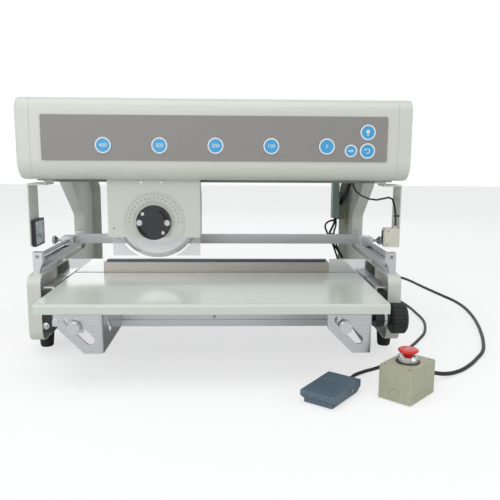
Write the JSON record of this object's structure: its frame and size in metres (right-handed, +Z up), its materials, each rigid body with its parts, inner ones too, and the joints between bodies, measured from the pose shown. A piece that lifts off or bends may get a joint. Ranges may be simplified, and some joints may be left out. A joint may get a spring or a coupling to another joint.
{
  "type": "pcb depaneling machine",
  "caption": "Bench machine with a round knife on a motor-driven carriage above a lower knife, a board table, keys, stop box and foot pedal.",
  "frame": {"origin": "on the bench surface, midway between the side frames and under the front face of the lower knife, at mount bench_stand", "axes": "+X along the cut to the operator's right, +Y from the operator to the back, +Z up"},
  "size_m": [0.9743, 0.9932, 0.473],
  "materials": {
    "paint": "satin",
    "panel_grey": "satin",
    "pan_grey": "satin",
    "aluminium": "anodised",
    "steel": "brushed",
    "polished": "polished",
    "tool_steel": "blued",
    "black_metal": "satin",
    "black_plastic": "matte",
    "rubber": "matte",
    "key_blue": "gloss",
    "stop_red": "gloss",
    "box_cream": "satin",
    "pedal_grey": "satin",
    "clear_guard": "clear",
    "sensor_cream": "gloss",
    "duct_green": "matte",
    "scale_pale": "satin",
    "unit_grey": "satin"
  },
  "bodies": {
    "frame": {"left_side_frame": "paint", "right_side_frame": "paint", "rubber_feet": "rubber", "base_beam": "aluminium", "knife_bed": "steel", "lower_knife": "tool_steel", "polished_end_plates": "polished", "table_brackets": "steel", "adjuster_blocks": "black_metal", "rod_brackets": "aluminium", "guide_rails": "steel", "bottom_pan": "pan_grey", "housing_cover": "paint", "end_caps": "paint", "rear_cover": "paint", "control_panel": "panel_grey", "guide_beam": "aluminium", "belt_mounts": "aluminium", "drive_motor": "black_metal", "drive_belt": "rubber", "control_unit": "unit_grey", "rear_connectors": "black_plastic", "barrier_brackets": "paint", "reflector": "black_plastic", "sensor": "sensor_cream", "wiring": "black_plastic", "cable_duct": "duct_green", "stop_box": "box_cream", "stop_bezel": "polished", "pedal_base": "pedal_grey", "stop_lead": "rubber", "pedal_lead": "rubber"},
    "table": {"table_top": "paint", "table_lugs": "steel"},
    "left_clamp": {"left_clamp_knob": "steel"},
    "right_clamp": {"right_clamp_knob": "steel"},
    "spindle": {"thrust_washer": "steel"},
    "wheel": {"handwheel": "black_plastic"},
    "fence": {"rear_fence": "aluminium"},
    "left_thumb": {"left_thumb_screw": "steel"},
    "right_thumb": {"right_thumb_screw": "steel"},
    "key_400": {"key_400": "key_blue"},
    "key_300": {"key_300": "key_blue"},
    "key_200": {"key_200": "key_blue"},
    "key_100": {"key_100": "key_blue"},
    "key_0": {"key_0": "key_blue"},
    "lamp_key": {"lamp_key": "key_blue"},
    "arrow_key": {"arrow_key": "key_blue"},
    "return_key": {"return_key": "key_blue"},
    "drive_pulley": {"drive_pulley": "aluminium"},
    "idler_pulley": {"idler_pulley": "aluminium"},
    "carriage": {"carriage_block": "steel", "carriage_plate": "aluminium", "head_shell": "paint", "angle_scale": "scale_pale", "blade_guard": "clear_guard"},
    "hub": {"eccentric_hub": "black_metal"},
    "knife": {"round_knife": "steel"},
    "stop_button": {"stop_button": "stop_red"},
    "pedal": {"pedal_plate": "pedal_grey"}
  },
  "joints": [
    {"name": "carriage_travel", "type": "slide", "parent": "frame", "child": "carriage", "axis": [1, 0, 0], "range_m": [-0.082, 0.318]},
    {"name": "drive_pulley_turn", "type": "hinge", "parent": "frame", "child": "drive_pulley", "pos_m": [0.3, -0.017, 0.436], "axis": [0, 1, 0], "range_deg": [-1450, 400]},
    {"name": "idler_pulley_turn", "type": "hinge", "parent": "frame", "child": "idler_pulley", "pos_m": [-0.3, -0.017, 0.436], "axis": [0, 1, 0], "range_deg": [-1450, 400]},
    {"name": "hub_turn", "type": "hinge", "parent": "carriage", "child": "hub", "pos_m": [-0.118, -0.05, 0.246], "axis": [0, 1, 0], "range_deg": [0, 60]},
    {"name": "knife_spin", "type": "hinge", "parent": "hub", "child": "knife", "pos_m": [-0.118, 0.001, 0.2493], "axis": [0, 1, 0], "continuous": true},
    {"name": "table_height", "type": "slide", "parent": "frame", "child": "table", "axis": [0.7071, 0, -0.7071], "range_m": [-0.003, 0.012]},
    {"name": "spindle_feed", "type": "slide", "parent": "frame", "child": "spindle", "axis": [1, 0, 0], "range_m": [-0.0023, 0.0087]},
    {"name": "wheel_turn", "type": "hinge", "parent": "spindle", "child": "wheel", "pos_m": [0.332, -0.132, 0.0805], "axis": [1, 0, 0], "range_deg": [-160, 620]},
    {"name": "left_clamp_turn", "type": "hinge", "parent": "table", "child": "left_clamp", "pos_m": [-0.2201, -0.262, 0.1021], "axis": [0, -1, 0], "range_deg": [0, 360]},
    {"name": "right_clamp_turn", "type": "hinge", "parent": "table", "child": "right_clamp", "pos_m": [0.2119, -0.262, 0.1021], "axis": [0, -1, 0], "range_deg": [0, 360]},
    {"name": "fence_travel", "type": "slide", "parent": "frame", "child": "fence", "axis": [0, 1, 0], "range_m": [-0.115, 0.07]},
    {"name": "left_thumb_turn", "type": "hinge", "parent": "fence", "child": "left_thumb", "pos_m": [-0.36, 0.14, 0.1845], "axis": [-1, 0, 0], "range_deg": [0, 360]},
    {"name": "right_thumb_turn", "type": "hinge", "parent": "fence", "child": "right_thumb", "pos_m": [0.36, 0.14, 0.1845], "axis": [1, 0, 0], "range_deg": [0, 360]},
    {"name": "key_400_press", "type": "slide", "parent": "frame", "child": "key_400", "axis": [0, 1, 0], "range_m": [0, 0.0012], "stiffness_N_per_m": 400, "springref_m": -0.002},
    {"name": "key_300_press", "type": "slide", "parent": "frame", "child": "key_300", "axis": [0, 1, 0], "range_m": [0, 0.0012], "stiffness_N_per_m": 400, "springref_m": -0.002},
    {"name": "key_200_press", "type": "slide", "parent": "frame", "child": "key_200", "axis": [0, 1, 0], "range_m": [0, 0.0012], "stiffness_N_per_m": 400, "springref_m": -0.002},
    {"name": "key_100_press", "type": "slide", "parent": "frame", "child": "key_100", "axis": [0, 1, 0], "range_m": [0, 0.0012], "stiffness_N_per_m": 400, "springref_m": -0.002},
    {"name": "key_0_press", "type": "slide", "parent": "frame", "child": "key_0", "axis": [0, 1, 0], "range_m": [0, 0.0012], "stiffness_N_per_m": 400, "springref_m": -0.002},
    {"name": "lamp_key_press", "type": "slide", "parent": "frame", "child": "lamp_key", "axis": [0, 1, 0], "range_m": [0, 0.0012], "stiffness_N_per_m": 400, "springref_m": -0.002},
    {"name": "arrow_key_press", "type": "slide", "parent": "frame", "child": "arrow_key", "axis": [0, 1, 0], "range_m": [0, 0.0012], "stiffness_N_per_m": 400, "springref_m": -0.002},
    {"name": "return_key_press", "type": "slide", "parent": "frame", "child": "return_key", "axis": [0, 1, 0], "range_m": [0, 0.0012], "stiffness_N_per_m": 400, "springref_m": -0.002},
    {"name": "stop_press", "type": "slide", "parent": "frame", "child": "stop_button", "axis": [0, 0, -1], "range_m": [0, 0.004], "stiffness_N_per_m": 800, "springref_m": -0.004},
    {"name": "pedal_press", "type": "hinge", "parent": "frame", "child": "pedal", "pos_m": [0.19373, -0.28858, 0.013], "axis": [0.788, -0.6157, 0], "range_deg": [0, 4], "stiffness_Nm_per_rad": 0.6, "springref_deg": -17.19}
  ],
  "couplings": [
    {"joint": "drive_pulley_turn", "follows": "carriage_travel", "rad_per_m": -78.431},
    {"joint": "idler_pulley_turn", "follows": "carriage_travel", "rad_per_m": -78.431},
    {"joint": "spindle_feed", "follows": "table_height", "ratio": 0.7071},
    {"joint": "wheel_turn", "follows": "table_height", "rad_per_m": 888.6}
  ]
}
